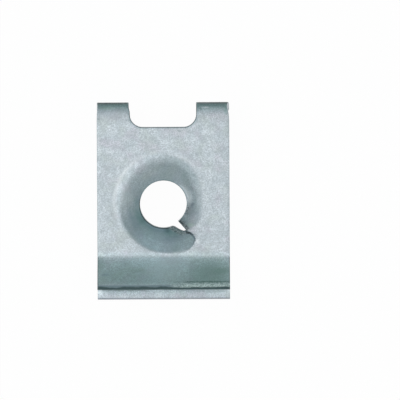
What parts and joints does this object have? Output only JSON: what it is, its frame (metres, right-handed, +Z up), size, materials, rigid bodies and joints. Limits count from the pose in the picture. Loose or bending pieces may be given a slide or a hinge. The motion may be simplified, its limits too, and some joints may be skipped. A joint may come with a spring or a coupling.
{
  "type": "u clip speed nut",
  "caption": "Folded spring-steel clip nut with a one-turn helical thread impression, a clearance hole, a notched fold and a flared lead-in lip.",
  "frame": {"origin": "centre of the clearance hole on the outer face of the flat leg, which the clip rests on", "axes": "+X across the strip, +Y from the open end to the fold, +Z up from the flat leg to the nut leg"},
  "size_m": [0.0144, 0.0213, 0.0047],
  "materials": {
    "zinc_coated_steel": "matt silver-grey zinc flake coating, slightly mottled"
  },
  "bodies": {
    "root": {"clip_body": "zinc_coated_steel"}
  },
  "joints": []
}
